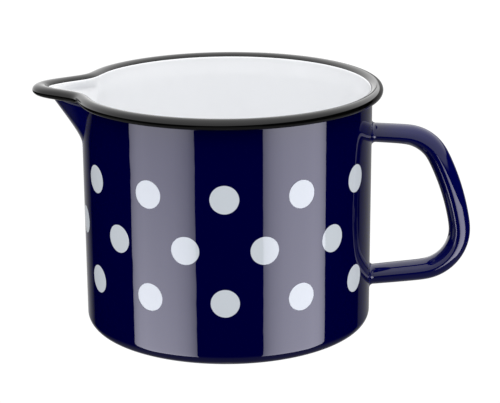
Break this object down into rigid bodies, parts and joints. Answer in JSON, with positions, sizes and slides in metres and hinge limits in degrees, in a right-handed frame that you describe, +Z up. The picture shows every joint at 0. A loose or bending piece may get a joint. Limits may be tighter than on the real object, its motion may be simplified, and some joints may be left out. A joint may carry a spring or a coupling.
{
  "type": "milk jug",
  "caption": "Straight-sided enamelled steel milk jug with a rolled black rim, a V-shaped pouring beak and a hollow D-shaped side handle.",
  "frame": {"origin": "centre of the flat underside, on the body's axis", "axes": "+Z up along the body's axis, +X towards the handle, -X towards the pouring beak"},
  "size_m": [0.2129, 0.1502, 0.1187],
  "materials": {
    "blue_enamel": "glossy fired cobalt-blue enamel on steel, with white polka dots on the body",
    "black_enamel": "glossy fired black enamel on steel",
    "white_enamel": "glossy fired white enamel on steel"
  },
  "bodies": {
    "root": {"body_shell": "blue_enamel", "spout_beak": "blue_enamel", "spout_weld": "blue_enamel", "handle": "blue_enamel", "handle_weld_upper": "blue_enamel", "handle_weld_lower": "blue_enamel", "rim_bead": "black_enamel", "inner_coat": "white_enamel"}
  },
  "joints": []
}
